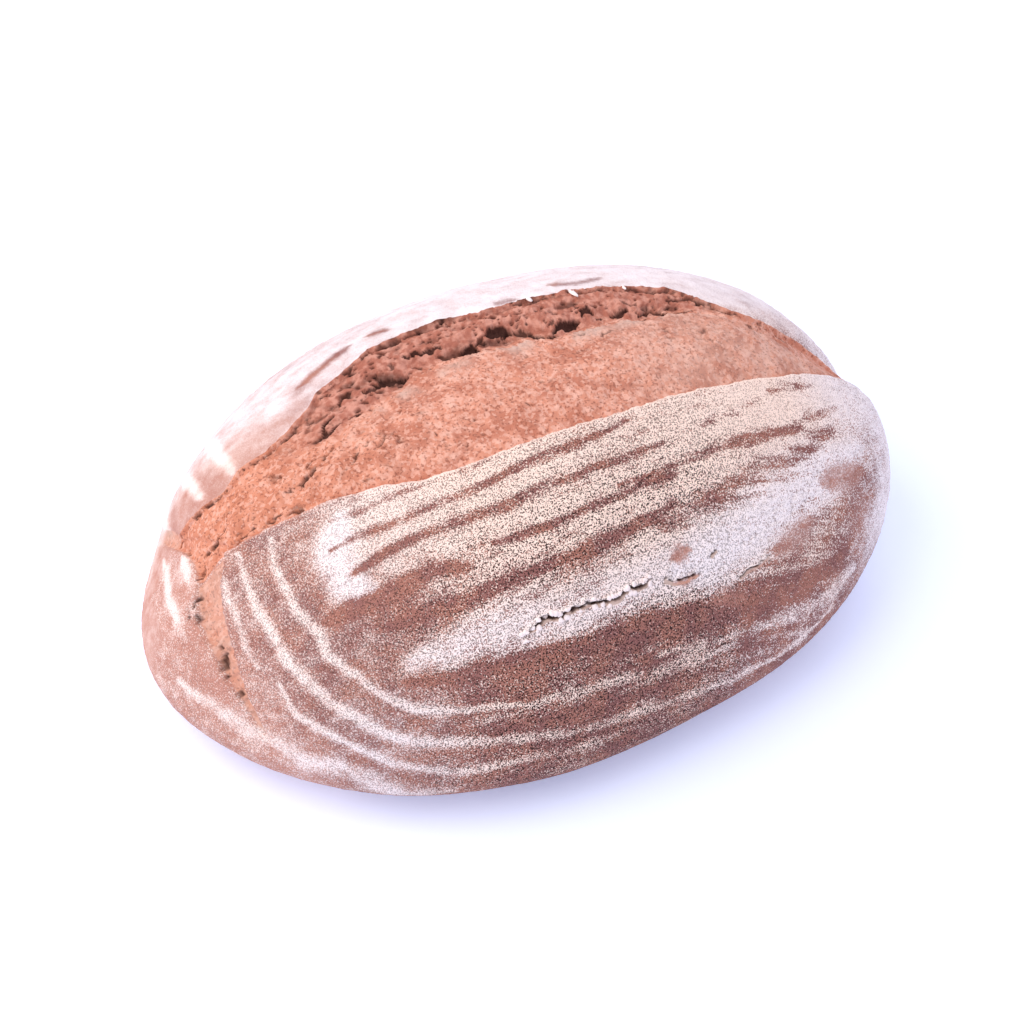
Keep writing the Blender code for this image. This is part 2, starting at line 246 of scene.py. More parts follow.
        (((88.8, 65.4), (90.6, 65.4)), 0.5), (((93, 65.8), (95, 66.2), (97.4, 66.8)), 0.45),
        (((103.2, 68.4), (106.3, 69.4), (109, 70.1), (111.7, 71.4)), 0.5),
        (((113.8, 71.5), (115.4, 72.1), (116.6, 73.1), (118, 74.1), (119.5, 74.9), (121.3, 75)), 0.55),
        (((120, 77.5), (122, 78.2), (123.6, 79.1), (124.7, 80.3), (125.7, 81.6)), 0.5),
        (((126.2, 82.1), (127.5, 83.4), (128.9, 84.9), (130, 86.1)), 0.4),
    ),
}

# The grid: how many cells between the stops, and where the fine patch of the burst lies.
grid = {
    "stations": ((0, 0), (22, 16), (60, 26), (404, 152), (448, 169), (474, 180)),
    "windowFrom": 60,
    "windowTo": 404,
    "far": ((0, 0), (26, 0.5), (76, 1)),
    "window": ((0, 0), (16, 1)),
    "near": ((0, 0), (22, 0.225), (40, 0.325), (70, 0.6), (98, 1)),
    "frontColumns": 70,
    "frontFiner": 4,
    "base": ((0, 0), (12, 1)),
    "halvings": 26,
    "leastSpan": 10,
    "burst": (("lipFar", 5), ("wall", 50), ("floor", 14), ("dough", 63), ("lipNear", 6)),
}


def rise(low, high, value):
    # smoothly from 0 at low to 1 at high
    share = np.clip((value - low) / (high - low), 0, 1)
    return share * share * (3 - 2 * share)


def fall(low, high, value):
    return 1 - rise(low, high, value)


def hump(begins, full, leaves, ends, value):
    return rise(begins, full, value) * fall(leaves, ends, value)


def follow(knots, value):
    places, heights = zip(*knots)
    return np.interp(value, places, heights)


def smoothLoaf(along, around):
    along, around = np.radians(along), np.radians(around)
    x = -np.cos(along)
    y = np.sin(along) * np.cos(around)
    z = np.sin(along) * np.sin(around) - form["poleDrop"] * x * x
    length = np.sqrt(x * x + y * y + z * z)
    x, y, z = x / length, y / length, z / length
    bearing = np.arctan2(y, x)
    reach = 1 + sum(c * np.cos(n * bearing) + s * np.sin(n * bearing) for n, c, s in form["planWaves"])
    power = form["planFullness"]
    long, wide = form["halfLength"] * reach, form["halfWidth"] * reach
    plan = (np.abs(x / long) ** power + np.abs(y / wide) ** power) ** (1 / power)
    middle, toRight, toFar = form["topFullness"]
    full = middle + toRight * np.cos(bearing) + toFar * np.sin(bearing)
    tall = form["height"] - form["belly"]
    top = (plan ** full + np.abs(z / tall) ** full) ** (-1 / full)
    full = form["underFullness"]
    under = (plan ** full + np.abs(z / form["tuck"]) ** full) ** (-1 / full)
    radius = np.where(z > 0, top, under)
    lift = np.clip(radius * z / tall, 0, 1)
    return np.stack((radius * x + form["leanX"] * lift, radius * y + form["leanY"] * lift,
                     form["belly"] + radius * z), -1)


def unit(vectors):
    return vectors / (np.linalg.norm(vectors, axis=-1, keepdims=True) + 1e-12)


def outward(along, around):
    forward = smoothLoaf(along + 0.2, around) - smoothLoaf(along - 0.2, around)
    sideways = smoothLoaf(along, around + 0.2) - smoothLoaf(along, around - 0.2)
    return unit(np.cross(sideways, forward)), unit(sideways)


def wobble(along, size, seed):
    return np.array([noise.fractal((a / size, seed, 0.5), 1.0, 2.0, 3) for a in along])


def speckle(points, size, seed, octaves=0):
    spots = (points.reshape(-1, 3) / size + seed).tolist()
    if octaves:
        heights = [noise.fractal(spot, 1.0, 2.0, octaves) for spot in spots]
    else:
        heights = [noise.noise(spot) for spot in spots]
    return np.array(heights).reshape(points.shape[:-1])


def swirl(points, bend, seed=0.0):
    # shifts that waver in all directions; bend is their reach and size
    spots = (points.reshape(-1, 3) / bend[1] + seed).tolist()
    return bend[0] * np.array([noise.noise_vector(spot) for spot in spots]).reshape(points.shape)


def waver(name, along):
    return sum(reach * wobble(along, size, seed) for reach, size, seed in burst["wavers"][name])


def burstEdges(along):
    # ragged edges at each station, from the far side to the near side
    torn = follow(burst["tornEdge"], along) + waver("tornEdge", along)
    foot = follow(burst["wallFoot"], along) + waver("wallFoot", along) * opening(along)
    dough = follow(burst["doughEdge"], along) + waver("doughEdge", along)
    flap = follow(burst["flapEdge"], along) + waver("flapEdge", along)
    least = 1 - (1 - burst["narrowsTo"]) * rise(*burst["narrows"], along)
    wallGap, floorGap, doughGap = burst["leastGaps"]
    foot = np.maximum(foot, torn + wallGap * least)
    dough = np.maximum(dough, foot + floorGap * least)
    flap = np.maximum(flap, dough + doughGap * least)
    return torn, foot, dough, flap


def opening(along):
    return hump(*burst["gape"], along)


def baseEdge(along, under, over):
    under, over = np.full(along.shape, float(under)), np.full(along.shape, float(over))
    for _ in range(grid["halvings"]):
        middle = (under + over) / 2
        above = smoothLoaf(along, middle)[..., 2] > 0
        over = np.where(above, middle, over)
        under = np.where(above, under, middle)
    return (under + over) / 2


def spread(low, high, knots, finer=1):
    # columns after low up to high, for every station
    cells = knots[-1][0]
    shares = follow(knots, (np.arange(cells * finer) + 1) / finer)
    return low[:, None] + (high - low)[:, None] * shares[None, :]


def slimmer(smooth):
    depth = np.zeros(smooth.shape[:-1])
    for place, radius, most in form["sinks"]:
        away = np.linalg.norm(smooth - smoothLoaf(*np.array(place, float)), axis=-1)
        depth = depth + most * np.exp(-(away / radius) ** 2)
    return depth


def crustMargins(along):
    torn, _, _, flap = burstEdges(along)
    return torn - burst["stepOut"], flap + burst["stepIn"]


def cracks(along, around):
    # beyond the cap of crust at the left end, and in the open crack beside it
    cap = follow(burst["capEdge"], around)
    near = follow(burst["crackNearEdge"], around)
    step = burst["crackStep"]
    beyond = rise(cap, cap + step, along)
    inside = beyond * fall(near - step, near, along)
    return beyond, inside * hump(*burst["crack"], around)


def groove(along, around):
    depth = fall(0, burst["grooveWidth"], np.abs(around - burst["grooveLine"]))
    return burst["grooveDepth"] * depth * hump(*burst["groove"], along)


# Marks on the crust: strokes along lines of (along, around), each with a half width in mm and a
# strength, or a depth in mm for the open cracks.
marks = {
    "light": (
        # the striped field, the broad floury band and the patch at the field's left corner
        (((47, 106), (60, 114), (76, 121), (92, 122), (108, 119), (122, 113), (136, 109)), 27, 0.6),
        (((118, 112), (130, 113), (140, 113)), 13, 0.3),
        (((48, 136), (57, 139), (64, 142), (72, 145), (84, 146), (98, 146), (108, 145), (118, 143)),
          8, 0.5),
        (((83, 144), (94, 146), (102.5, 146), (113, 142.5), (123, 137), (132, 130.3), (139, 123)),
          12, 0.55), (((140, 104), (150, 110), (152, 124), (147, 138)), 20, 0.4),
        (((46, 102), (44, 107), (44, 114), (46, 118)), 6, 0.5),
        # the rings
        (((40, 95), (39, 101), (39, 112), (40, 119), (40, 124), (42, 131), (44, 139), (47, 145), (52, 150),
          (57, 154), (62, 157)), 1.5, 0.5),
        (((57, 154), (66, 159), (76, 162), (89, 165), (102, 167), (110, 166)), 1.4, 0.32),
        (((37, 93), (36, 103), (36, 113), (36, 120), (37, 126), (38, 133), (41, 142), (44, 149), (51, 157),
          (56, 161), (63, 166), (74, 171), (90, 175), (103, 175), (113, 174), (127, 169), (136, 161)),
          1.9, 0.55), (((35, 93), (34, 98), (34, 103), (33, 111), (33, 116)), 1.2, 0.35),
        (((34, 122), (34, 131), (36, 138), (39, 146), (43, 155), (49, 163), (55, 168), (68, 173),
          (79, 177), (88, 178)), 1.5, 0.45),
        (((24, 100), (26, 116), (27, 124), (30, 134), (32, 144), (37, 151), (40, 159), (43, 166),
          (51, 172)), 3.4, 0.36), (((56, 156), (72, 162), (89, 166), (104, 168)), 3.5, 0.2),
        (((91, 162.4), (107.7, 163.9), (120, 161.8), (132, 157.6), (141, 151.3)), 3.5, 0.36),
        (((100, 171), (118, 169), (131, 162), (140, 156)), 4, 0.2),
        # streaks across the far crust at the left end
        (((42, 50), (41.3, 63.1), (40.9, 70.9), (40.7, 75.7)), 2.2, 0.6),
        (((38, 55), (37.6, 64), (37.5, 68), (37.4, 72.5)), 2.2, 0.65), (((34, 50), (32.5, 60)), 2.5, 0.5),
        (((45, 52), (46.5, 62), (48, 68)), 3, 0.2),
        # the cap at the left end
        (((30, 62), (29, 70.2), (28.6, 80), (28.4, 86.5), (28, 95.5)), 2.2, 0.5),
        (((32.1, 75.5), (32, 81.7), (31.6, 85.5)), 2.2, 0.5),
    ),
    "brown": (
        (((45, 101), (48, 103), (50, 103.5), (53, 104.5)), 1.2, 0.45),
        (((53, 105), (60, 107), (65, 108)), 0.7, 0.35),
        (((44, 106), (47, 107), (50, 109), (57, 111), (64, 112), (70, 113), (84, 113), (95, 112)),
          1.8, 0.65), (((113, 109), (118, 109)), 1.2, 0.3),
        (((45, 113), (51, 114), (57, 116), (66, 119), (78, 120), (94, 120), (101, 119)), 2.1, 0.7),
        (((41, 118), (44, 119), (48, 121), (53, 122), (57, 125)), 2.6, 0.65),
        (((61, 124), (71, 127), (82, 127), (94, 127), (101, 127)), 2, 0.65),
        (((46, 126), (52, 129), (60, 132), (69, 134)), 2.2, 0.55),
        (((66, 133), (75, 135), (86, 135), (99, 133)), 2.8, 0.6),
        (((95, 136.8), (105, 134.6), (114.6, 131.1), (123, 127.8), (129.6, 124.2), (136, 119)), 4.2, 0.45),
        (((87, 125.4), (98, 125.1), (109, 123.7), (118.5, 121.6), (126, 120), (131, 119)), 2, 0.5),
        (((111.8, 116.9), (117.6, 115.1), (123.3, 112.9), (126.7, 111)), 1.8, 0.4),
        (((127, 110.2), (131.8, 108.9), (135.7, 107.8)), 2, 0.6),
        (((119, 123.4), (125.5, 120.6), (131.4, 117.6), (135.2, 115.2), (138.4, 112.7)), 1.9, 0.5),
        (((47, 139), (57, 145.5), (66, 150), (76, 153.5), (86, 155.8), (95, 156.3), (104, 157.2),
          (118.8, 156.4), (130.5, 152), (137, 147)), 3.3, 0.5),
        (((56, 158.5), (70, 165), (82, 168.5), (94, 170)), 2.2, 0.35),
    ),
    # smooth orange places
    "warm": (
        (((132.5, 131.4), (135.5, 130), (140, 128.2)), 5, 0.7), (((95.6, 144), (99.6, 143)), 3.2, 0.85),
        (((120.6, 146.6), (124.6, 143.6), (128.6, 140)), 4.5, 0.55),
        (((95, 148.8), (97.6, 149.4), (101, 148.6)), 1.6, 0.8), (((138, 141), (142, 133)), 7, 0.3),
        (((104, 155.5), (112, 155)), 3.5, 0.5),
        (((31.5, 58), (34, 66), (36.5, 72), (39, 75), (42, 73.5), (46, 73), (49.5, 70)), 7, 0.3),
        (((28.3, 92), (28.6, 100), (28.2, 108), (27.4, 116)), 5, 0.4),
    ),
    "farStreaks": (
        (((50.7, 63.9), (53, 62.5), (55, 61.4), (57.5, 59.6), (59.4, 58.8)), 1.7, 0.5),
        (((62.2, 58), (63.8, 58.4), (65.4, 59)), 1.5, 0.4),
        (((99.5, 61.5), (102.9, 63.3), (106.1, 64.4), (111.3, 63.8)), 1.8, 0.5),
        (((84.5, 63.6), (86.4, 64), (90.1, 64)), 1.4, 0.4),
        (((36, 50), (50, 36), (66, 28), (88, 26), (110, 30), (130, 42)), 2.4, 0.2),
        (((38, 34), (54, 20), (78, 12), (104, 14), (128, 26)), 3, 0.35),
        (((36, 20), (54, 8), (78, 1), (104, 3), (128, 12)), 3, 0.4),
    ),
    "chalk": (
        (((48, 136), (57, 139), (64, 142), (72, 145), (84, 146), (98, 146), (108, 145), (118, 143)),
          9, 0.7), (((96, 147), (104, 146), (113, 142.5), (123, 137), (132, 130.3), (142, 122)), 12, 1),
        (((46, 102), (44, 107), (44, 114), (46, 118)), 8, 0.9),
    ),
    "openCracks": (
        (((62.3, 143.7), (63.8, 143.9), (65.4, 143), (67.6, 142.9), (69.4, 144.2), (71.6, 144.2),
          (75.6, 144.9), (78.8, 146.4), (82.1, 146.7), (84.2, 145.9), (86, 146.9), (88, 146.4),
          (90, 145.7)), 0.55, 1.5), (((91.8, 146.9), (94.6, 148.6), (98, 148.8), (102, 148.3)), 0.35, 0.9),
        (((110.5, 151.8), (113.1, 150), (116, 149), (119.1, 147)), 0.3, 0.8),
        (((105, 146), (107, 144.5)), 0.35, 0.6),
    ),
}


def strokeDistance(points, knots):
    # distance in mm to a line on the loaf, and how far along the line its nearest place is
    line = smoothLoaf(*np.array(knots, float).T)
    best = np.full(points.shape[:-1], 1e9)
    share = np.zeros(points.shape[:-1])
    for number, (start, end) in enumerate(zip(line, line[1:])):
        step = end - start
        along = np.clip((points - start) @ step / (step @ step), 0, 1)
        distance = np.linalg.norm(points - start - along[..., None] * step, axis=-1)
        closer = distance < best
        best = np.where(closer, distance, best)
        share = np.where(closer, (number + along) / (len(line) - 1), share)
    return best / mm, share


def stroke(points, knots, width):
    distance, share = strokeDistance(points, knots)
    width = width * (0.45 + 0.55 * np.minimum(1, 6 * np.minimum(share, 1 - share)))
    return np.exp(-(distance / (1.1 * width)) ** 2.4)


def farness(along, around):
    # the far side of the loaf, without its right end
    return fall(78, 98, around) * (1 - 0.85 * rise(136, 160, along))


# How much flour lies where, and how it is broken up: shares, or a share and a size.
flour = {
    "base": 0.3,
    "far": 0.45,
    "left": 0.04,
    "right": 0.3,
    "low": 0.16,
    "streaks": 0.34,
    "streakLanes": (0.075, 0.6, 0),
    "mottles": (0.16, 0.0035),
    "drifts": (0.1, 0.012),
    "clumps": (0.3, 0.004),
    "bends": ((0.7 * mm, 0.013), (0.35 * mm, 0.0022)),
    "least": (0.03, 0.1),
}


def flourCover(points, along, around):
    # how much of the crust the flour covers, and how white it is
    bent = points + sum(swirl(points, bend) for bend in flour["bends"])
    clumps = 1 + flour["clumps"][0] * speckle(points, flour["clumps"][1], 17.0, 2)
    onFar = farness(along, around) * rise(34, 52, along + 0.6 * np.clip(72 - around, 0, 40))
    onRight = rise(128, 146, along)
    onLeft = fall(28, 36, along)
    onLow = rise(146, 160, around) * rise(50, 64, along)
    cover = flour["base"] + flour["far"] * onFar * (0.7 + 0.3 * rise(56, 76, along))
    cover = cover + flour["left"] * onLeft + flour["right"] * rise(134, 156, along) - flour["low"] * onLow
    chalk = (0.4 + 0.4 * rise(130, 150, around)) * fall(40, 62, along)
    chalk = np.maximum(chalk, 0.5 * rise(96, 116, along) * rise(146, 160, around))
    chalk = np.maximum(np.maximum(onFar, onRight), chalk)
    for knots, width, strength in marks["light"]:
        cover = cover + strength * stroke(bent, knots, width) * np.clip(1.3 - cover, 0, 1) * clumps
    for knots, width, strength in marks["brown"] + marks["farStreaks"]:
        cover = cover - strength * stroke(bent, knots, width)
    for knots, width, strength in marks["chalk"]:
        chalk = np.maximum(chalk, strength * stroke(bent, knots, width))
    lanes = np.stack((along, around, along), -1) * np.array(flour["streakLanes"])
    streaks = speckle(lanes, 1.0, 5.0, 4) * hump(50, 64, 128, 142, along) * rise(100, 112, around)
    cover = cover + flour["streaks"] * streaks
    share, size = flour["mottles"]
    cover = cover + share * speckle(points * np.array((0.4, 1, 1)), size, 5.0, 3)
    share, size = flour["drifts"]
    cover = cover + share * speckle(points, size, 8.0, 2)
    # a few specks of flour are left on the brown stripes too
    field = hump(100, 112, 136, 150, around) * rise(44, 60, along)
    least, more = flour["least"]
    return np.clip(cover, least + more * field, 1.0), np.clip(chalk, 0, 1)


def crustSurface(along, around):
    # the points of the crust, and the values that its shader reads
    smooth = smoothLoaf(along, around)
    normals, _ = outward(along, around)
    _, inCrack = cracks(along, around)
    cover, chalk = flourCover(smooth, along, around)
    height = -burst["crackDepth"] * inCrack - groove(along, around) - slimmer(smooth)
    lumps, grit = form["crackLumps"], form["crackGrit"]
    height = height + inCrack * lumps[0] * speckle(smooth, lumps[1], 51.0, 3)
    height = height + inCrack * grit[0] * speckle(smooth, grit[1], 57.0)
    for tall, size in (form["lumps"], form["ripples"]):
        height = height + tall * speckle(smooth, size, 0.0)
    height = height + form["dents"][0] * speckle(smooth, form["dents"][1], 2.0, 2)
    height = height + form["pimples"][0] * (1 + 3 * chalk) * speckle(smooth, form["pimples"][1], 6.0, 2)
    height = height + form["flourLift"] * cover
    small, large = form["clodSizes"]
    clods = np.abs(speckle(smooth, small, 91.0, 2)) + 0.6 * np.abs(speckle(smooth, large, 92.0, 2))
    clods = chalk * cover * fall(0.0, 0.16, clods) * rise(70, 100, around)
    height = height - form["clodDepth"] * clods
    # painted shade: the open cracks and splits are darkened toward the shade colour for the shade inside
    # them
    paintedShade = np.zeros(along.shape)
    crumb = inCrack * 1.0
    bent = smooth + swirl(smooth, form["bend"])
    ragged = bent + swirl(smooth, form["rag"], 5.0)
    for knots, width, depth in marks["openCracks"]:
        width = width * (1 + 0.5 * speckle(smooth, 0.003, 23.0))
        distance, share = strokeDistance(ragged, knots)
        ends = np.minimum(1, 8 * np.minimum(share, 1 - share))
        split = fall(0.6 * width, 1.5 * width, distance) * ends
        below, _ = strokeDistance(bent, tuple((a, b + 0.55) for a, b in knots))
        bared = fall(1.1 * width, 2.4 * width, below) * ends
        curl = fall(width, 4.5 * width, distance) * ends
        height = height + depth * mm * (0.6 * curl - 1.6 * split - 0.5 * bared)
        cover = cover + 0.4 * curl * (1 - split)
        crumb = np.maximum(crumb, 0.75 * bared)
        paintedShade = np.maximum(paintedShade, 0.92 * split)
    for knots, width, depth in burst["splits"]:
        distance, _ = strokeDistance(bent, knots)
        split = fall(0.5 * width, 1.5 * width, distance) * (around > 90)
        height = height - depth * mm * split
        paintedShade = np.maximum(paintedShade, 0.9 * split)
    height = height * rise(form["plainBelow"], form["roughAbove"], smooth[..., 2])
    points = smooth + normals * height[..., None]
    points[..., 2] = np.maximum(points[..., 2], 0)
    # where the pepper shows, where the flour is even, and where the crust is paler
    grains = 0.7 + 0.3 * rise(106, 134, around) * rise(36, 50, along) * (1 - 0.5 * rise(190, 260, around))
    grains = grains * np.maximum(rise(70, 100, around), 0.6 * rise(140, 160, along))
    even = np.maximum(farness(along, around), 0.4 * rise(136, 152, along)) * fall(200, 240, around)
    even = np.maximum(even, 0.45 * fall(44, 58, along))
    pale = 0.75 * fall(29, 38, along) + 0.15 * fall(46, 75, along)
    pale = np.maximum(pale, 0.75 * fall(44, 58, along) * fall(78, 88, around))
    lowMiddle = rise(146, 156, around) * hump(56, 70, 100, 116, along)
    grains = grains * (1 + 0.6 * lowMiddle) * (1 - 0.45 * rise(104, 128, along))
    grains = grains * (1 - 0.45 * chalk) * (1 - 0.45 * pale)
    for knots, width, strength in marks["warm"]:
        warm = strength * stroke(bent, knots, width)
        cover = cover * (1 - warm) + 0.12 * warm
        pale = np.maximum(pale, 0.8 * warm)
        even = np.maximum(even, warm)
        grains = grains * (1 - 0.7 * warm)
    values = {"flour": cover, "chalk": chalk, "even": even, "grains": grains, "crumb": crumb,
              "wall": 0 * along, "paintedShade": paintedShade, "pale": pale}
    return points, values


def burstProfile(along, gape, part, share):
    # depth below the crust and sideways shift of each column of the burst
    step, flapStep = burst["tornStep"], burst["flapStep"]
    wall = step + (burst["wallDrop"] - step) * gape
    foot = flapStep + (burst["footDrop"] - flapStep) * gape
    drop = flapStep + (burst["doughDrop"] - flapStep) * gape
    level = np.zeros(gape.shape)
    lip, lean = level - burst["lip"], burst["lean"]
    stops = {  # depth and shift at the start and end of each stretch
        "lipFar": (lip, level + step, level + lean, level - lean),
        "wall": (level + step, wall, level - lean, level),
        "floor": (wall, drop, level, level),
        "dough": (drop, level + flapStep, level, level + lean),
        "lipNear": (level + flapStep, lip, level + lean, level - burst["overhang"]),
    }
    swell = {"wall": burst["wallSwell"] * gape, "dough": burst["doughBulge"], "floor": drop - foot}
    depth, shift = np.zeros(along.shape), np.zeros(along.shape)
    for name, (startDepth, endDepth, startShift, endShift) in stops.items():
        here = part == name
        across = share[here][None, :]
        depth[:, here] = startDepth + (endDepth - startDepth) * across
        depth[:, here] -= swell.get(name, 0) * np.sin(np.pi * across)
        shift[:, here] = startShift + (endShift - startShift) * across
    return depth, shift


def closedEnds(field):
    # nothing at the first and last columns, where the burst meets the crust
    field[:, 0] = field[:, -1] = 0
    return field


def burstSurface(along, around, part, share):
    # part and share say which stretch of the burst a column lies in, and how far across it
    stations = along[:, 0]
    smooth = smoothLoaf(along, around)
    normals, sideways = outward(along, around)
    beyond, inCrack = cracks(along, around)
    gape = opening(stations)[:, None]
    isOpen = beyond * fall(*burst["closes"], along)
    depth, shift = burstProfile(along, gape, part, share)
    depth = np.maximum(depth * isOpen, burst["crackDepth"] * inCrack)
    shift = shift * isOpen
    tornHere = np.isin(part, ("lipFar", "wall", "floor"))[None, :] * hump(*burst["torn"], along)
    tornHere = tornHere * np.where(part == "floor", fall(0.2, 0.9, share), 1)[None, :] * isOpen
    onDough = np.isin(part, ("dough", "floor"))[None, :] * isOpen * (1 - tornHere)
    rough = fall(50, 62, along) * isOpen
    # pores and ledges of the torn wall
    drawn = smooth * np.array((0.55, 1.2, 1.2))
    ledgeHeight, ledgeSize, gullySize = burst["ledges"]
    ledges = 0.9 * speckle(drawn, ledgeSize, 31.0, 3) + 0.25
    ledges = ledges - 0.9 * np.abs(speckle(drawn, gullySize, 33.0, 2))
    pore = np.zeros(along.shape)
    for poreSize, seed in burst["pores"]:
        holes = [noise.voronoi(p)[0][0] for p in (drawn.reshape(-1, 3) / poreSize + seed).tolist()]
        holes = np.array(holes).reshape(along.shape)
        lucky = speckle(smooth, 1.6 * poreSize, seed)
        pore = np.maximum(pore, fall(*burst["poreSpan"], holes) * rise(0.08, 0.25, lucky))
    # soft lumps, nicks and creases of the dough
    soft = speckle(smooth * np.array((0.8, 1, 1)), burst["soft"][1], 51.0, 4)
    nick = rise(0.5, 0.68, speckle(smooth * np.array((0.6, 1.1, 1)), burst["nicks"][1], 63.0, 2))
    nick = nick * rise(-0.1, 0.3, speckle(smooth, 0.02, 64.0))
    creases = np.abs(speckle(smooth * np.array((0.8, 1.1, 1)), burst["creases"][1], 67.0, 2))
    crease = fall(0.01, 0.07, creases) * rise(0.05, 0.3, speckle(smooth, 0.014, 71.0)) * rough
    height = -depth - groove(along, around) - slimmer(smooth)
    for tall, size in (form["lumps"], form["ripples"]):
        height = height + tall * speckle(smooth, size, 0.0)
    wallGrit = burst["wallGrit"][0] * speckle(smooth, burst["wallGrit"][1], 37.0, 2)
    doughGrit = burst["grit"][0] * speckle(smooth, burst["grit"][1], 57.0, 2)
    height = height + tornHere * (ledgeHeight * ledges + wallGrit - burst["poreDepth"] * pore)
    height = height + onDough * ((burst["soft"][0] + burst["softer"] * rough) * soft + doughGrit)
    height = height - onDough * (burst["nicks"][0] * nick + burst["creases"][0] * crease)
    bent = smooth + swirl(smooth, form["bend"])
    ragged = bent + swirl(smooth, burst["rag"], 5.0)
    # painted shade in the splits of the dough
    paintedSplitShade = np.zeros(along.shape)
    for knots, width, most in burst["splits"]:
        distance, _ = strokeDistance(ragged, knots)
        width = 0.75 * width * (1 + 0.8 * speckle(smooth, 0.0025, 27.0))
        split = closedEnds(fall(0.6 * width, 1.4 * width, distance))
        height = height - most * mm * split
        paintedSplitShade = np.maximum(paintedSplitShade, 0.85 * split)
    # painted shadow along the top of the wall, under the overhanging edge of the far crust
    top = np.where(part == "wall", share, np.where(part == "lipFar", 0, 1))
    crestShadow = 0.5 * fall(0.03, 0.12, top) * (part != "lipFar")
    crestShadow = crestShadow[None, :] * tornHere * rise(-0.25, 0.2, speckle(smooth, 0.006, 75.0))
    # painted shade: pores, nicks, creases and the low parts of the ledges are darkened for the shade inside
    # them
    paintedShade = 0.8 * pore * tornHere + 0.5 * nick * onDough + 0.8 * crease * onDough + 0.7 * crestShadow
    paintedShade = np.maximum(paintedShade, paintedSplitShade)
    paintedShade = paintedShade + 0.7 * tornHere * np.clip(-2.2 * ledges - 0.45, 0, 1)
    # the mapped hollows, with ragged rims, cut in and painted with shade
    cave = np.zeros(along.shape)
    for knots, width, most, shade in burst["caves"]:
        distance, across = strokeDistance(ragged, knots)
        width = width * (0.5 + 0.5 * np.minimum(1, 4 * np.minimum(across, 1 - across)))
        inside = closedEnds(fall(0.5, 1.15, distance / width))
        cave = np.maximum(cave, 0.45 * most * mm * inside)
        paintedShade = np.maximum(paintedShade, shade * rise(0.1, 0.45, inside))
    height = height - cave
    # painted shadow under the far crust's edge, also cut a little into the surface
    for knots, width in burst["shadows"]:
        distance, _ = strokeDistance(ragged, knots)
        line = closedEnds(fall(0.5 * width, 1.5 * width, distance))
        height = height - burst["shadowDepth"] * line
        paintedShade = np.maximum(paintedShade, 0.8 * line)
    points = smooth + normals * height[..., None] + sideways * shift[..., None]
    middling = np.sin(np.pi * np.where(part == "wall", share, 0.5))
    points = points + swirl(drawn, burst["crags"]) * (tornHere * middling)[..., None]
    bare = np.where(part == "lipNear", fall(0.3, 0.6, share), 1)[None, :] * isOpen
    # flour dust lies on the dough beside the gap
    onTop = (part == "dough")[None, :]
    veil = burst["veil"] * rise(92, 120, along) * onTop * (1 - 0.5 * rise(-0.2, 0.3, soft))
    nearGap = onTop * np.exp(-(share / 0.13) ** 2)[None, :] * gape
    dust = np.maximum(nearGap * rise(-0.3, 0.3, speckle(smooth, 0.01, 81.0)) * burst["dust"], veil)
    cover, chalk = flourCover(smooth, along, around)
    cover = cover + (dust - cover) * rise(0.3, 0.6, bare)
    values = {"flour": cover, "chalk": chalk, "even": 0.5 + 0 * along, "grains": 0.2 + 0 * along,
              "crumb": bare, "wall": tornHere, "paintedShade": np.clip(paintedShade, 0, 1),
              "pale": fall(34, 60, along)}
    return points, values


def addPiece(name, points, faces, values, material):
    data = bpy.data.meshes.new(name)
    data.from_pydata(points.reshape(-1, 3).tolist(), [], faces)
    for key, given in values.items():
        attribute = data.attributes.new(key, "FLOAT", "POINT")
        attribute.data.foreach_set("value", np.asarray(given, np.float32).ravel())
    data.shade_smooth()
    data.materials.append(material)
    piece = bpy.data.objects.new(name, data)
    bpy.context.scene.collection.objects.link(piece)
    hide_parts("loaf")
    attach(piece, "root")
    print(name, "has", sum(len(face) - 2 for face in faces), "triangles")


def gridFaces(rows, columns, closed, skip=None):
    faces = []
    for row in range(rows - 1):
        for column in range(columns if closed else columns - 1):
            if skip and skip(row, column):
                continue
            after = (column + 1) % columns
            faces.append((row * columns + column, row * columns + after,
                          (row + 1) * columns + after, (row + 1) * columns + column))
    return faces


class Value:
    # a socket whose arithmetic adds the nodes for it
    def __init__(self, tree, socket):
        self.tree = tree
        self.socket = socket

    def node(self, kind, settings, inputs, output=0):
        made = self.tree.nodes.new(kind)
        for name, setting in settings.items():
            setattr(made, name, setting)
        for name, given in inputs.items():
            if isinstance(given, Value):
                self.tree.links.new(given.socket, made.inputs[name])
            else:
                made.inputs[name].default_value = given
        return Value(self.tree, made.outputs[output])

    def maths(self, operation, first, second):
        isPlain = all(v.socket.type == "VALUE" for v in (first, second) if isinstance(v, Value))
        if isPlain:
            return self.node("ShaderNodeMath", {"operation": operation}, {0: first, 1: second})
        pair = {0: first, 1: second}
        for place, given in pair.items():
            if isinstance(given, (int, float)):
                pair[place] = (given, given, given)
        return self.node("ShaderNodeVectorMath", {"operation": operation}, pair)

    def __add__(self, other):
        return self.maths("ADD", self, other)

    def __radd__(self, other):
        return self.maths("ADD", other, self)

    def __sub__(self, other):
        return self.maths("SUBTRACT", self, other)

    def __rsub__(self, other):
        return self.maths("SUBTRACT", other, self)

    def __mul__(self, other):
        return self.maths("MULTIPLY", self, other)

    def __rmul__(self, other):
        return self.maths("MULTIPLY", other, self)

    def ramp(self, low, high, start=0.0, end=1.0):
        # rises smoothly from start at low to end at high
        return self.node("ShaderNodeMapRange", {"interpolation_type": "SMOOTHSTEP"},
                         {0: self, 1: low, 2: high, 3: start, 4: end})

    def between(self, first, second):
        # a colour that goes from first to second by this share
        return self.node("ShaderNodeMix", {"data_type": "RGBA"}, {0: self, 6: first, 7: second}, 2)

    def toward(self, other, share):
        return share.between(self, other)


def newMaterial(name):
    material = bpy.data.materials.new(name)
    material.use_nodes = True
    tree = material.node_tree
    shader = tree.nodes["Principled BSDF"]
    return material, shader, Value(tree, shader.outputs[0])


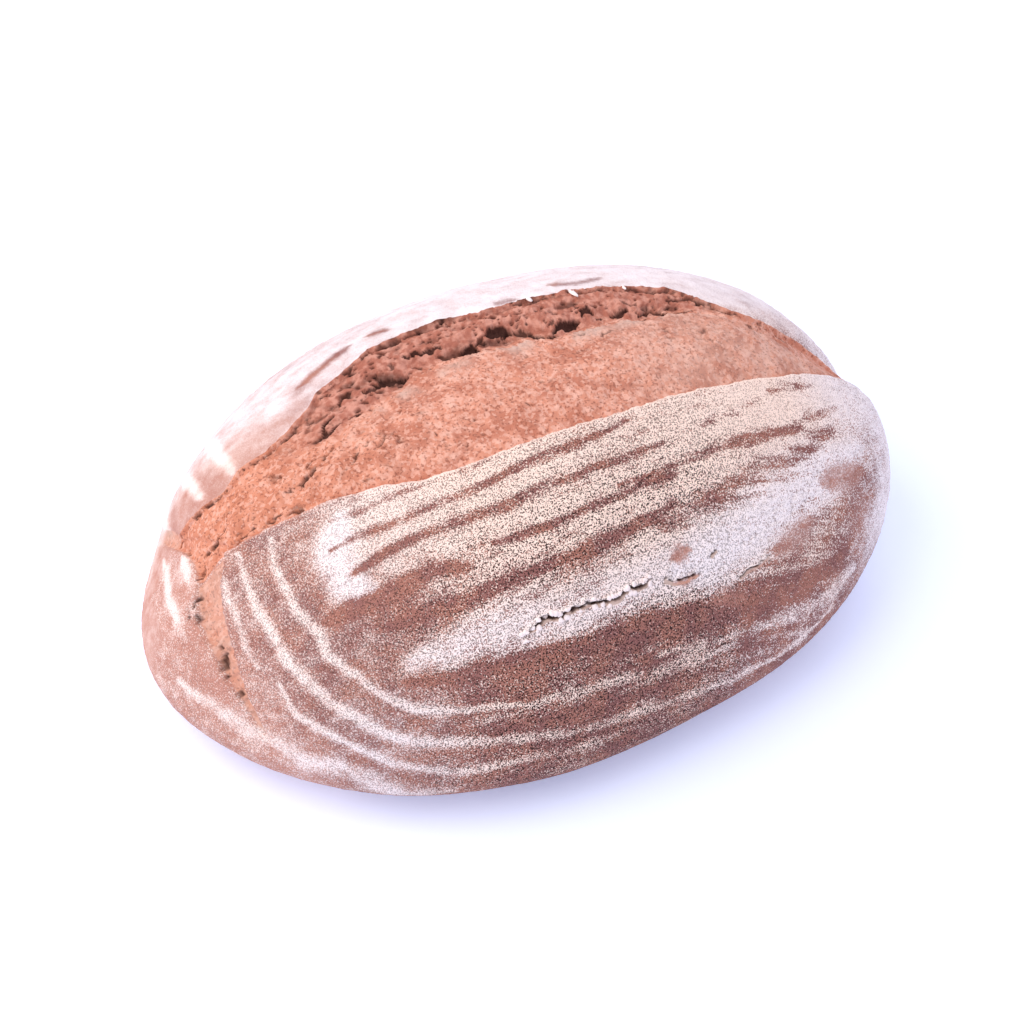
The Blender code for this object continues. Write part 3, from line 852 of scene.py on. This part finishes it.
crust = {
    "brown": (0.27, 0.112, 0.096, 1),
    "brownWarm": (0.38, 0.16, 0.115, 1),
    "brownPale": (0.52, 0.24, 0.175, 1),
    "cream": (0.95, 0.735, 0.61, 1),
    "white": (0.93, 0.83, 0.81, 1),
    "pepper": (0.035, 0.014, 0.011, 1),
    "dough": (0.64, 0.27, 0.175, 1),
    "doughLight": (0.79, 0.44, 0.33, 1),
    "doughRed": (0.47, 0.16, 0.095, 1),
    "doughWarm": (0.62, 0.23, 0.125, 1),
    "doughGrain": (0.3, 0.1, 0.06, 1),
    "dust": (0.6, 0.44, 0.36, 1),
    "wall": (0.42, 0.15, 0.098, 1),
    "wallLight": (0.62, 0.29, 0.21, 1),
    # near-black colour of the painted shade in cracks, pores and hollows
    "paintedShadeColour": (0.045, 0.013, 0.008, 1),
    "grainSize": 0.5 * mm,
    "pepperSize": 0.475 * mm,
    "lineSize": 1.3 * mm,
    "coarseSize": 0.0024,
    "patchSize": 0.009,
    "doughGrainSize": 0.001,
    "doughFleckSize": 0.0015,
    "grainShare": 0.78,  # how much of the flour lies as grains; the rest is soft
    "roughness": 0.85,
    "specular": 0.25,
    "bump": 0.8,
    "bumpHeight": 0.4 * mm,
}


def crustMaterial():
    material, shader, start = newMaterial("crust")
    place = start.node("ShaderNodeTexCoord", {}, {}, "Object")

    def cloud(size, detail=2.0, seed=0.0):
        return start.node("ShaderNodeTexNoise", {"noise_dimensions": "4D"},
                          {"Vector": place, "W": seed, "Scale": 1 / size, "Detail": detail})

    def reading(name):
        return start.node("ShaderNodeAttribute", {"attribute_name": name}, {}, "Fac")

    grain = cloud(crust["grainSize"], 0.4, 1.0)
    coarse = cloud(crust["coarseSize"], 3.0, 2.0)
    patches = cloud(crust["patchSize"], 3.0, 3.0)
    # floured crust
    cover = reading("flour") + (coarse - 0.5) * 0.25
    grainy = (cover - ((grain - 0.5) * 2.5 + 0.5)).ramp(-0.06, 0.06)
    soft = cover.ramp(0.22, 0.72)
    floured = grainy * crust["grainShare"] + soft * (1 - crust["grainShare"])
    floured = floured + (cover.ramp(0.1, 0.95) - floured) * reading("even") * 0.85
    brown = patches.ramp(0.4, 0.62).between(crust["brown"], crust["brownWarm"])
    brown = brown.toward(crust["brownPale"], reading("pale"))
    skin = brown.toward(reading("chalk").between(crust["cream"], crust["white"]), floured)
    # dark specks and short lines between the grains
    grains = reading("grains")
    specks = cloud(crust["pepperSize"], 0.0, 4.0).ramp(0.565, 0.585) * grains
    lines = cloud(crust["lineSize"], 1.0, 7.0) - 0.5
    lines = (lines * lines).ramp(0.0, 0.0007, 0.6, 0.0) * (grains * 0.9 + reading("chalk") * 0.12)
    skin = skin.toward(crust["pepper"], specks.maths("MAXIMUM", specks, lines))
    # burst dough and torn wall
    dough = coarse.ramp(0.42, 0.68).between(crust["dough"], crust["doughLight"])
    dough = dough.toward(crust["doughRed"], patches.ramp(0.46, 0.62, 0.0, 0.75))
    dough = dough.toward(crust["doughWarm"], reading("pale") * 0.6)
    spots = cloud(crust["doughGrainSize"], 1.5, 6.0).ramp(0.56, 0.61, 0.0, 0.7)
    dough = dough.toward(crust["doughGrain"], spots)
    flecks = cloud(crust["doughFleckSize"], 2.0, 8.0).ramp(0.53, 0.6, 0.0, 0.6)
    dough = dough.toward(crust["doughLight"], flecks)
    dough = dough.toward(crust["dust"], reading("flour"))
    wall = coarse.ramp(0.4, 0.64).between(crust["wall"], crust["wallLight"])
    crumb = dough.toward(wall, reading("wall"))
    skin = skin.toward(crumb, reading("crumb").ramp(0.3, 0.6))
    # painted shade: cracks, pores, hollows and the lines under the far crust go toward this near-black
    # colour
    skin = skin.toward(crust["paintedShadeColour"], reading("paintedShade"))
    bump = start.node("ShaderNodeBump", {}, {"Strength": crust["bump"], "Distance": crust["bumpHeight"],
                                             "Height": grain * 0.5 + coarse * 0.5})
    tree = material.node_tree
    tree.links.new(skin.socket, shader.inputs["Base Color"])
    tree.links.new(bump.socket, shader.inputs["Normal"])
    shader.inputs["Roughness"].default_value = crust["roughness"]
    shader.inputs["Specular IOR Level"].default_value = crust["specular"]
    return material


def snapped(places, stopPlaces, stops):
    # points of a row that lie exactly on the edge of the piece beside it
    return np.stack([np.interp(places, stopPlaces, stops[:, axis]) for axis in range(3)], -1)


# the crust goes all round, with a window for the burst and the front
material = crustMaterial()
stations = follow(grid["stations"], np.arange(1, grid["stations"][-1][0]))
first, last = grid["windowFrom"], grid["windowTo"]
far, near = crustMargins(stations)
farBase = np.minimum(baseEdge(stations, -90, 90), far - grid["leastSpan"])
nearBase = np.maximum(baseEdge(stations, 270, 90), near + grid["leastSpan"])
around = np.concatenate((
    farBase[:, None], spread(farBase, far, grid["far"]), spread(far, near, grid["window"]),
    spread(near, nearBase, grid["near"]), spread(nearBase, farBase + 360, grid["base"])[:, :-1]), 1)
along = np.repeat(stations[:, None], around.shape[1], 1)
points, values = crustSurface(along, around)
print("crust points", points.shape)

windowFrom = grid["far"][-1][0]
windowTo = windowFrom + grid["window"][-1][0]
frontTo = windowTo + grid["frontColumns"]
rows, columns = around.shape
ends = [smoothLoaf(np.array([end]), np.array([270.0]))[0] for end in (0.001, 179.999)]
flat = np.concatenate((points.reshape(-1, 3), np.array(ends) * (1, 1, 0)))


def inWindow(row, column):
    return first - 1 <= row < last - 1 and windowFrom <= column < frontTo


faces = gridFaces(rows, columns, True, inWindow)
for column in range(columns):
    after = (column + 1) % columns
    faces.append((rows * columns, after, column))
    faces.append((rows * columns + 1, (rows - 1) * columns + column, (rows - 1) * columns + after))
for key, given in values.items():
    atEnds = (form["endCover"],) * 2 if key == "flour" else (0, 0)
    values[key] = np.append(given.ravel(), atEnds)

# the front has finer columns, and keeps to the crust's own edges all round
finer = grid["frontFiner"]
frontAround = np.concatenate((near[:, None], spread(near, nearBase, grid["near"], finer)), 1)
frontAround = frontAround[first - 1:last, :finer * grid["frontColumns"] + 1]
frontAlong = np.repeat(stations[first - 1:last, None], frontAround.shape[1], 1)
frontPoints, frontValues = crustSurface(frontAlong, frontAround)
for row, whole in ((0, first - 1), (-1, last - 1)):
    stops = points[whole, windowTo:frontTo + 1]
    frontPoints[row] = snapped(np.arange(frontAround.shape[1]) / finer, np.arange(len(stops)), stops)
print("front points", frontPoints.shape)

# the burst has stations twice as close, and meets the crust at the crests of its edges
fineStations = follow(grid["stations"], np.linspace(first, last, 2 * (last - first) + 1))
torn, foot, dough, flap = burstEdges(fineStations)
far, near = torn - burst["stepOut"], flap + burst["stepIn"]
stopLines = {"lipFar": torn + burst["stepIn"], "wall": foot, "floor": dough,
             "dough": flap - burst["stepOut"], "lipNear": near}
fineAround, part, share, low = [far[:, None]], ["lipFar"], [0.0], far
for name, cells in grid["burst"]:
    fineAround.append(spread(low, stopLines[name], ((0, 0), (cells, 1))))
    part += [name] * cells
    share += list((np.arange(cells) + 1) / cells)
    low = stopLines[name]
fineAround = np.concatenate(fineAround, 1)
fineAlong = np.repeat(fineStations[:, None], fineAround.shape[1], 1)
finePoints, fineValues = burstSurface(fineAlong, fineAround, np.array(part), np.array(share))
finePoints[::2, 0] = points[first - 1:last, windowFrom]
finePoints[::2, -1] = points[first - 1:last, windowTo]
for row, whole in ((0, first - 1), (-1, last - 1)):
    window = slice(windowFrom, windowTo + 1)
    finePoints[row] = snapped(fineAround[row], around[whole, window], points[whole, window])
for column in (0, -1):
    finePoints[1::2, column] = (finePoints[:-1:2, column] + finePoints[2::2, column]) / 2
print("burst points", finePoints.shape)

# the frame's box is centred, so all pieces move by the same amount
both = np.concatenate((flat, finePoints.reshape(-1, 3), frontPoints.reshape(-1, 3)))
boxLow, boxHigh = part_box("loaf")
middle = (both.min(0) + both.max(0)) / 2
move = np.array((boxLow + boxHigh) / 2) - middle
move[2] = 0
addPiece("crust", flat + move, faces, values, material)
fineFaces = gridFaces(finePoints.shape[0], finePoints.shape[1], False)
addPiece("burst", finePoints + move, fineFaces, fineValues, material)
frontFaces = gridFaces(frontPoints.shape[0], frontPoints.shape[1], False)
addPiece("front", frontPoints + move, frontFaces, frontValues, material)

flakes = {
    "size": (0.45 * mm, 1.15 * mm),
    "thin": 0.5,
    "narrow": (0.6, 1),
    "lump": 0.45,
    "lips": 52,  # small curls of flour along the open crack
    "sides": (-0.55, 1),
    "shift": (0.75, 1.6),
    "lift": 0.1 * mm,
    # tags of flour hanging over the far edge: place, half sizes in mm
    "tags": (((92.4, 65.6), (0.8, 2.2)), ((102.3, 68.3), (1.1, 2.8)), ((113.2, 71.3), (0.6, 1.5))),
    "tagThickness": 0.5 * mm,
    "seed": 8,
}


def flakePlaces():
    # place, half sizes and turn of each flake
    chance = np.random.default_rng(flakes["seed"])
    line = marks["openCracks"][0][0]
    places = []
    for _ in range(flakes["lips"]):
        spot = chance.uniform(0, len(line) - 1)
        onLine = [np.interp(spot, np.arange(len(line)), [knot[axis] for knot in line]) for axis in (0, 1)]
        onLine[1] += chance.choice(flakes["sides"]) * chance.uniform(*flakes["shift"]) * 0.8
        size = chance.uniform(*flakes["size"])
        sizes = (size, size * chance.uniform(*flakes["narrow"]), size * flakes["thin"])
        places.append((onLine, sizes, chance.uniform(0, 3)))
    for place, (wide, long) in flakes["tags"]:
        places.append((place, (wide * mm, long * mm, flakes["tagThickness"]), 0.0))
    return places


def addFlakes(material):
    ball = bmesh.new()
    bmesh.ops.create_icosphere(ball, subdivisions=2, radius=1)
    shape = np.array([vertex.co for vertex in ball.verts])
    corners = [tuple(vertex.index for vertex in face.verts) for face in ball.faces]
    ball.free()
    allPoints, allFaces = [], []
    for number, (place, sizes, turn) in enumerate(flakePlaces()):
        spot = np.array([[place[0]]]), np.array([[place[1]]])
        surface, _ = crustSurface(*spot)
        normals, sideways = outward(*spot)
        up, side = normals[0, 0], sideways[0, 0]
        ahead = np.cross(up, side)
        one, two = cos(turn) * ahead + sin(turn) * side, cos(turn) * side - sin(turn) * ahead
        shifts = [Vector(point) * 1.3 + Vector((number, 0, 0)) for point in shape]
        lump = np.array([1 + flakes["lump"] * noise.fractal(shifted, 1.0, 2.0, 2) for shifted in shifts])
        local = shape * lump[:, None] * np.array(sizes)
        grown = local[:, :1] * one + local[:, 1:2] * two + local[:, 2:] * up
        allPoints.append(surface[0, 0] + up * flakes["lift"] + grown)
        allFaces += [tuple(index + number * len(shape) for index in face) for face in corners]
    allPoints = np.concatenate(allPoints)
    whole = np.ones(len(allPoints))
    addPiece("flakes", allPoints + move, allFaces, {"flour": whole, "chalk": 0.8 * whole, "even": whole},
             material)


addFlakes(material)

# floor, light and camera
studio = {
    "floorSize": 6.0,
    "floorColour": (0.8, 0.86, 0.95, 1),
    "floorGlow": (0.55, 0.62, 1.0, 1),
    "floorGlowStrength": 0.34,
    "floorRoughness": 0.9,
    "worldColour": (0.86, 0.86, 1.0, 1),
    "worldStrength": 1.02,
    "keyFrom": (-0.95, 0.3, 1.2),
    "keySize": 1.8,
    "keyPower": 17,
    "keyColour": (1.0, 0.93, 0.84),
    "keyAim": (0, 0, 0.05),
    "azimuth": -26.87,
    "elevation": 47.0,
    "distance": 1.0,
    "target": (0, 0, 0.04),
    "lens": 102.06,
    "sensor": 36,
    "shift": (-0.01, 0.0033),
}

bpy.ops.mesh.primitive_plane_add(size=studio["floorSize"])
floor = bpy.context.object
floor.name = "floor"
floorMaterial, floorShader, _ = newMaterial("floor")
floorShader.inputs["Base Color"].default_value = studio["floorColour"]
floorShader.inputs["Roughness"].default_value = studio["floorRoughness"]
floorShader.inputs["Emission Color"].default_value = studio["floorGlow"]
floorShader.inputs["Emission Strength"].default_value = studio["floorGlowStrength"]
floor.data.materials.append(floorMaterial)
floor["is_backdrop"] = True

world = bpy.data.worlds.new("studio")
bpy.context.scene.world = world
world.use_nodes = True
sky = world.node_tree.nodes["Background"]
sky.inputs["Color"].default_value = studio["worldColour"]
sky.inputs["Strength"].default_value = studio["worldStrength"]

keyData = bpy.data.lights.new("key", "AREA")
keyData.shape = "DISK"
keyData.size = studio["keySize"]
keyData.energy = studio["keyPower"]
keyData.color = studio["keyColour"]
key = bpy.data.objects.new("key", keyData)
key.location = studio["keyFrom"]
key.rotation_euler = (Vector(studio["keyAim"]) - key.location).to_track_quat("-Z", "Y").to_euler()
bpy.context.scene.collection.objects.link(key)

cameraData = bpy.data.cameras.new("camera")
cameraData.lens = studio["lens"]
cameraData.sensor_width = studio["sensor"]
cameraData.shift_x, cameraData.shift_y = studio["shift"]
camera = bpy.data.objects.new("camera", cameraData)
turn, lift = radians(studio["azimuth"]), radians(studio["elevation"])
back = Vector((sin(turn) * cos(lift), -cos(turn) * cos(lift), sin(lift)))
camera.location = Vector(studio["target"]) + back * studio["distance"]
camera.rotation_euler = (-back).to_track_quat("-Z", "Y").to_euler()
bpy.context.scene.collection.objects.link(camera)
bpy.context.scene.camera = camera
print("floor, light and camera")

low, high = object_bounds()
